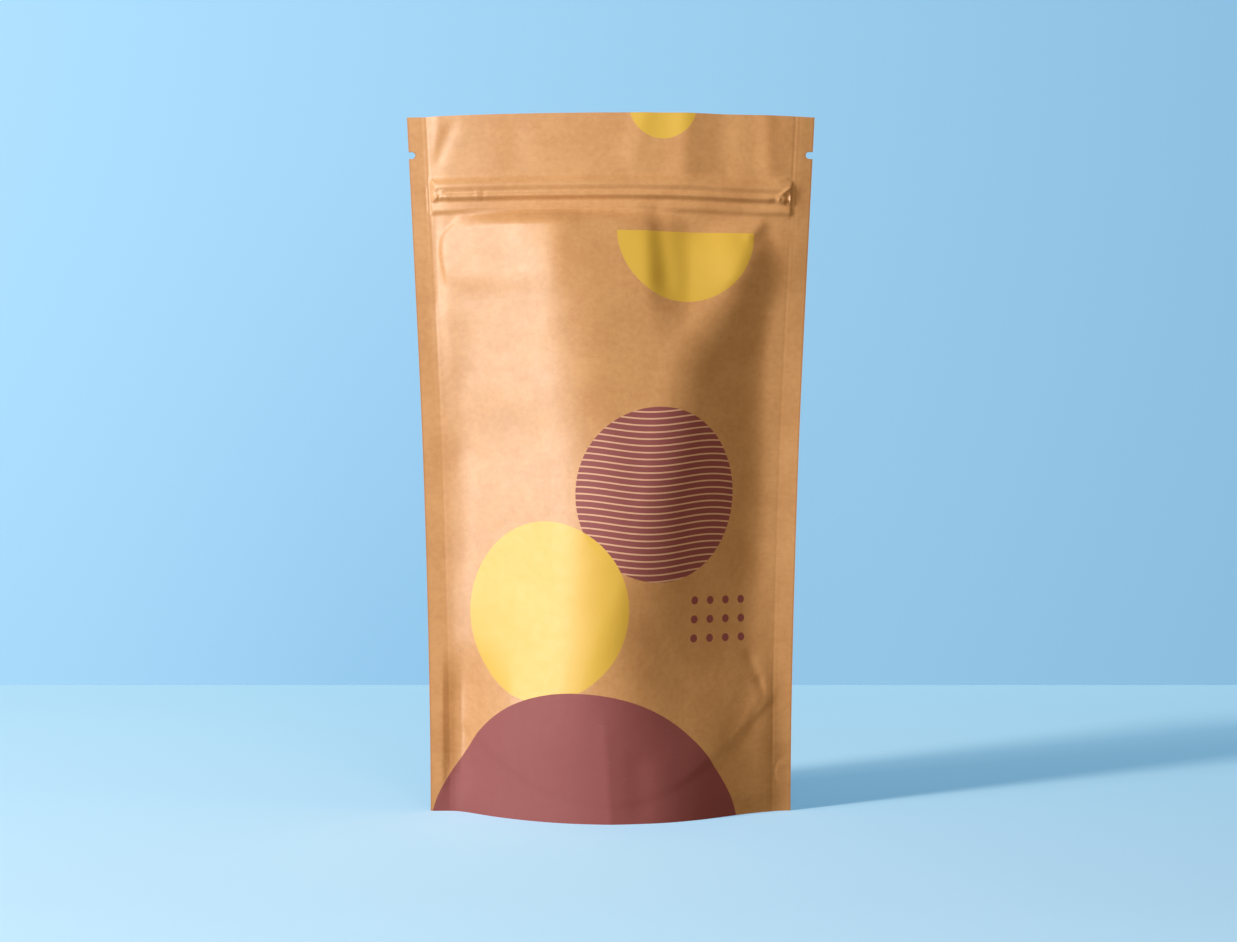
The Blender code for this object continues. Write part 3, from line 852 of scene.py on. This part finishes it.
# Colours of the paper, its darker rim and flecks, and its print
KRAFT = (0.58, 0.305, 0.127, 1.0)
KRAFT_DARK = (0.47, 0.213, 0.076, 1.0)
KRAFT_LIGHT = (0.67, 0.365, 0.165, 1.0)
KRAFT_RIM = (0.46, 0.185, 0.06, 1.0)
FLECK = (0.20, 0.09, 0.035, 1.0)
WINE = (0.235, 0.05, 0.066, 1.0)
YELLOW = (0.69, 0.45, 0.05, 1.0)
PALE_PINK = (0.72, 0.44, 0.34, 1.0)

# Print of the flat film, in millimetres from the front's middle and foot, with the back's middle
# at 160. Discs are listed as across, up and radius, the dot field as its ends across and up.
YELLOW_DISCS = [(20.0, 271.0, 13.0), (-27.0, 78.0, 34.0), (186.0, 172.0, 30.0)]
HALF_DISCS = [(30.0, 222.0, 27.0), (150.0, 222.0, 22.0)]
HALF_DISC_TOP = 222.0
STRIPED_DISCS = [(19.0, 122.0, 33.0), (131.0, 104.0, 38.0)]
STRIPE_PITCH = 2.55
STRIPE_HALF_WIDTH = 0.3
STRIPE_SWING = 1.3
STRIPE_SWING_RATE = 0.11
HILLS = [(-12.0, -22.0, 70.0), (176.0, -10.0, 56.0)]
DOT_PITCH = 7.2
DOT_RADIUS = 1.55
DOT_FIELD = ((31.5, 60.3), (64.0, 85.6))


def kraft_colour(n):
    """Brown paper: clouds, short fibres and small dark and light flecks."""
    clouds = n.noise(n.flat, 0.055, 3.0, 0.6)
    grain = n.noise(n.flat, 0.45, 4.0, 0.65)
    tone = n.math("ADD", n.math("MULTIPLY", clouds, 0.55), n.math("MULTIPLY", grain, 0.45))
    colour = n.mix(n.ramp(tone, 0.34, 0.66), KRAFT_DARK, KRAFT_LIGHT)
    colour = n.mix(0.55, colour, KRAFT)
    for angle, shift in ((12.0, 0.0), (68.0, 31.0), (-35.0, 57.0)):
        streaks = n.noise(n.turned(angle, (0.35, 3.0, 1.0), shift), 0.8, 1.0, 0.4)
        colour = n.mix(n.share(streaks, 0.64, 0.76, 0.2), colour, KRAFT_DARK)
        colour = n.mix(n.share(streaks, 0.36, 0.24, 0.2), colour, KRAFT_LIGHT)
    specks = n.noise(n.flat, 1.5, 1.0, 0.3)
    colour = n.mix(n.share(specks, 0.74, 0.78, 0.5), colour, FLECK)
    return n.mix(n.share(n.attribute("rim"), 0.9, 0.2, 0.6), colour, KRAFT_RIM)


def stripe_mask(n):
    """Thin lines that swing gently, one below the other."""
    sine = n.math("SINE", n.math("MULTIPLY", n.u, STRIPE_SWING_RATE))
    swing = n.math("MULTIPLY", sine, STRIPE_SWING)
    wave = n.math("WRAP", n.math("ADD", n.v, swing), STRIPE_PITCH, 0.0)
    line = n.math("ABSOLUTE", n.math("SUBTRACT", wave, STRIPE_PITCH / 2.0))
    return n.ramp(line, STRIPE_HALF_WIDTH + EDGE, STRIPE_HALF_WIDTH - EDGE)


def dot_mask(n):
    """A small field of dots in rows and columns."""
    offsets = []
    inside = None
    for position, (low, high) in ((n.u, DOT_FIELD[0]), (n.v, DOT_FIELD[1])):
        cell = n.math("WRAP", n.math("SUBTRACT", position, low), DOT_PITCH, 0.0)
        offsets.append(n.math("SUBTRACT", cell, DOT_PITCH / 2.0))
        within = n.math("MULTIPLY", n.ramp(position, low - EDGE, low),
                        n.ramp(position, high + EDGE, high))
        inside = within if inside is None else n.math("MULTIPLY", inside, within)
    squares = [n.math("MULTIPLY", offset, offset) for offset in offsets]
    distance = n.math("SQRT", n.math("ADD", *squares))
    return n.math("MULTIPLY", inside, n.ramp(distance, DOT_RADIUS + EDGE, DOT_RADIUS - EDGE))


def add_print(n, paper):
    """The printed colours over the paper: discs, half discs, a striped disc, a hill and dots."""
    wobble = n.noise(n.flat, 1.2, 2.0, 0.5)
    shift = n.math("MULTIPLY", n.math("SUBTRACT", wobble, 0.5), 0.12)
    n.drawn = n.vector("ADD", n.flat, shift)
    below = n.ramp(n.v, HALF_DISC_TOP + EDGE, HALF_DISC_TOP - EDGE)
    halves = n.math("MULTIPLY", n.most(*[n.disc(*place) for place in HALF_DISCS]), below)
    yellow = n.most(halves, *[n.disc(*place) for place in YELLOW_DISCS])
    striped = n.most(*[n.disc(*place) for place in STRIPED_DISCS])
    wine_areas = n.most(dot_mask(n), *[n.disc(*place) for place in HILLS])
    n.wine_share = n.math("MAXIMUM", wine_areas, striped)
    wine = n.mix(0.06, WINE, paper)
    pale = n.mix(0.3, PALE_PINK, paper)
    gold = n.mix(0.08, YELLOW, paper)
    wear = n.noise(n.turned(24.0, (0.2, 2.2, 1.0), 11.0), 0.9, 2.0, 0.5)
    wine = n.mix(n.share(wear, 0.72, 0.80, 0.3), wine, pale)
    colour = n.mix(striped, paper, n.mix(stripe_mask(n), wine, pale))
    colour = n.mix(yellow, colour, gold)
    return n.mix(wine_areas, colour, wine)


def add_finish(n, colour):
    """Soft satin film over paper: its gloss, its grain and its fine creases."""
    n.put(n.shader.inputs["Base Color"], colour)
    gloss = n.noise(n.flat, 0.25, 3.0, 0.6)
    roughness = n.math("ADD", n.math("MULTIPLY", gloss, 0.12), 0.44)
    roughness = n.math("ADD", roughness, n.math("MULTIPLY", n.wine_share, 0.3))
    n.put(n.shader.inputs["Roughness"], roughness)
    n.shader.inputs["Specular IOR Level"].default_value = 0.9
    grain = n.noise(n.flat, 1.6, 3.0, 0.6)
    ripple = n.noise(n.flat, 0.32, 2.0, 0.5)
    height = n.math("ADD", n.math("MULTIPLY", grain, 0.12), ripple)
    bump = n.tree.nodes.new("ShaderNodeBump")
    bump.inputs["Strength"].default_value = 0.25
    bump.inputs["Distance"].default_value = 0.00012
    n.put(bump.inputs["Height"], height)
    n.put(n.shader.inputs["Normal"], bump.outputs[0])


def printed_material():
    """The printed walls."""
    n = Nodes("printed_kraft")
    add_finish(n, add_print(n, kraft_colour(n)))
    return n.material


def plain_material():
    """The underside, the edges and the inside of the mouth, which carry no print."""
    n = Nodes("plain_kraft")
    add_finish(n, kraft_colour(n))
    return n.material


def make_pouch():
    mesh = pouch_mesh()
    pouch = bpy.data.objects.new("printed_pouch", mesh)
    bpy.context.collection.objects.link(pouch)
    mesh.materials.append(printed_material())
    mesh.materials.append(plain_material())
    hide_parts("pouch")
    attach(pouch, "root")


# The stage, in metres. Its glow is painted light: a blue glow tints the floor's shadow and the
# backdrop, and grows along the floor from GLOW_FROM_Y back to the wall to make up for the lamps'
# light falling off.
WALL_Y = 0.52
GLOW_FROM_Y = -0.17
STAGE_HALF_WIDTH = 4.0
STAGE_FRONT_Y = -3.0
WALL_TOP = 3.0
POUCH_MIDDLE = (0.0, 0.0, 0.13)
FLOOR_COLOUR = (0.67, 0.84, 0.9, 1.0)
WALL_COLOUR = (0.36, 0.52, 0.64, 1.0)
# Painted light: the stage's blue glow, which tints its shadows, and the brighter glow at the back
# of the floor
PAINTED_BLUE_GLOW = (0.0, 0.17, 0.38, 1.0)
PAINTED_FAR_FLOOR_GLOW = (0.13, 0.375, 0.59, 1.0)


def stage_material(name, colour, painted_near_glow, painted_far_glow):
    """Matt backdrop paper with a painted glow, painted light that changes from front to back."""
    material = bpy.data.materials.new(name)
    material.use_nodes = True
    tree = material.node_tree
    shader = tree.nodes["Principled BSDF"]
    shader.inputs["Base Color"].default_value = colour
    shader.inputs["Roughness"].default_value = 0.9
    shader.inputs["Specular IOR Level"].default_value = 0.1
    # The paper glows, which is painted light and not a lamp
    shader.inputs["Emission Strength"].default_value = 1.0
    place = tree.nodes.new("ShaderNodeTexCoord")
    parts = tree.nodes.new("ShaderNodeSeparateXYZ")
    back = tree.nodes.new("ShaderNodeMapRange")
    back.inputs["From Min"].default_value = GLOW_FROM_Y
    back.inputs["From Max"].default_value = WALL_Y
    glow = tree.nodes.new("ShaderNodeMix")
    glow.data_type = "RGBA"
    glow.inputs["A"].default_value = painted_near_glow
    glow.inputs["B"].default_value = painted_far_glow
    tree.links.new(place.outputs["Object"], parts.inputs[0])
    tree.links.new(parts.outputs["Y"], back.inputs["Value"])
    tree.links.new(back.outputs[0], glow.inputs["Factor"])
    tree.links.new(glow.outputs["Result"], shader.inputs["Emission Color"])
    return material


def make_stage():
    """A pale floor that meets a plain backdrop."""
    profile = [(STAGE_FRONT_Y, 0.0), (WALL_Y, 0.0), (WALL_Y, WALL_TOP)]
    points = [(x, y, z) for y, z in profile for x in (-STAGE_HALF_WIDTH, STAGE_HALF_WIDTH)]
    mesh = bpy.data.meshes.new("stage")
    mesh.from_pydata(points, [], [(0, 1, 3, 2), (2, 3, 5, 4)])
    mesh.materials.append(stage_material("stage_floor", FLOOR_COLOUR, PAINTED_BLUE_GLOW, PAINTED_FAR_FLOOR_GLOW))
    mesh.materials.append(stage_material("stage_wall", WALL_COLOUR, PAINTED_BLUE_GLOW, PAINTED_BLUE_GLOW))
    mesh.polygons.foreach_set("material_index", [0, 1])
    stage = bpy.data.objects.new("stage", mesh)
    bpy.context.collection.objects.link(stage)
    stage.visible_diffuse = False
    stage.visible_glossy = False


def aim(thing, target):
    """Turn a light or the camera to look at a point."""
    way = Vector(target) - thing.location
    thing.rotation_euler = way.to_track_quat("-Z", "Y").to_euler()


def add_area_light(name, place, size, energy, colour):
    """Add a round lamp that looks at the pouch's middle."""
    data = bpy.data.lights.new(name, "AREA")
    data.shape = "DISK"
    data.size = size
    data.energy = energy
    data.color = colour
    light = bpy.data.objects.new(name, data)
    bpy.context.collection.objects.link(light)
    light.location = place
    aim(light, POUCH_MIDDLE)
    return light


def make_lights():
    add_area_light("key", (-1.21, -0.91, 0.98), 0.22, 17.0, (1.0, 0.98, 0.95))
    add_area_light("low_key", (-1.35, -0.86, 0.3), 0.36, 17.5, (1.0, 0.98, 0.96))
    fill = add_area_light("fill", (0.3, -1.7, 0.5), 1.2, 11.5, (1.0, 0.82, 0.5))
    fill.visible_glossy = False
    world = bpy.data.worlds.new("studio")
    world.use_nodes = True
    background = world.node_tree.nodes["Background"]
    background.inputs["Color"].default_value = (1.0, 0.9, 0.7, 1.0)
    background.inputs["Strength"].default_value = 0.12
    bpy.context.scene.world = world


def make_camera():
    data = bpy.data.cameras.new("camera")
    data.sensor_width = SENSOR_WIDTH
    data.lens = FOCAL_PIXELS / PHOTO_WIDTH * SENSOR_WIDTH
    camera = bpy.data.objects.new("camera", data)
    bpy.context.collection.objects.link(camera)
    camera.location = (CAMERA_X * MM, -CAMERA_DISTANCE * MM, CAMERA_HEIGHT * MM)
    rise = (HORIZON_ROW - PHOTO_HEIGHT / 2.0) / FOCAL_PIXELS * CAMERA_DISTANCE
    aim(camera, (CAMERA_X * MM, 0.0, (CAMERA_HEIGHT + rise) * MM))
    bpy.context.scene.camera = camera
    bpy.context.scene.view_settings.view_transform = "Standard"


make_pouch()
make_stage()
make_lights()
make_camera()
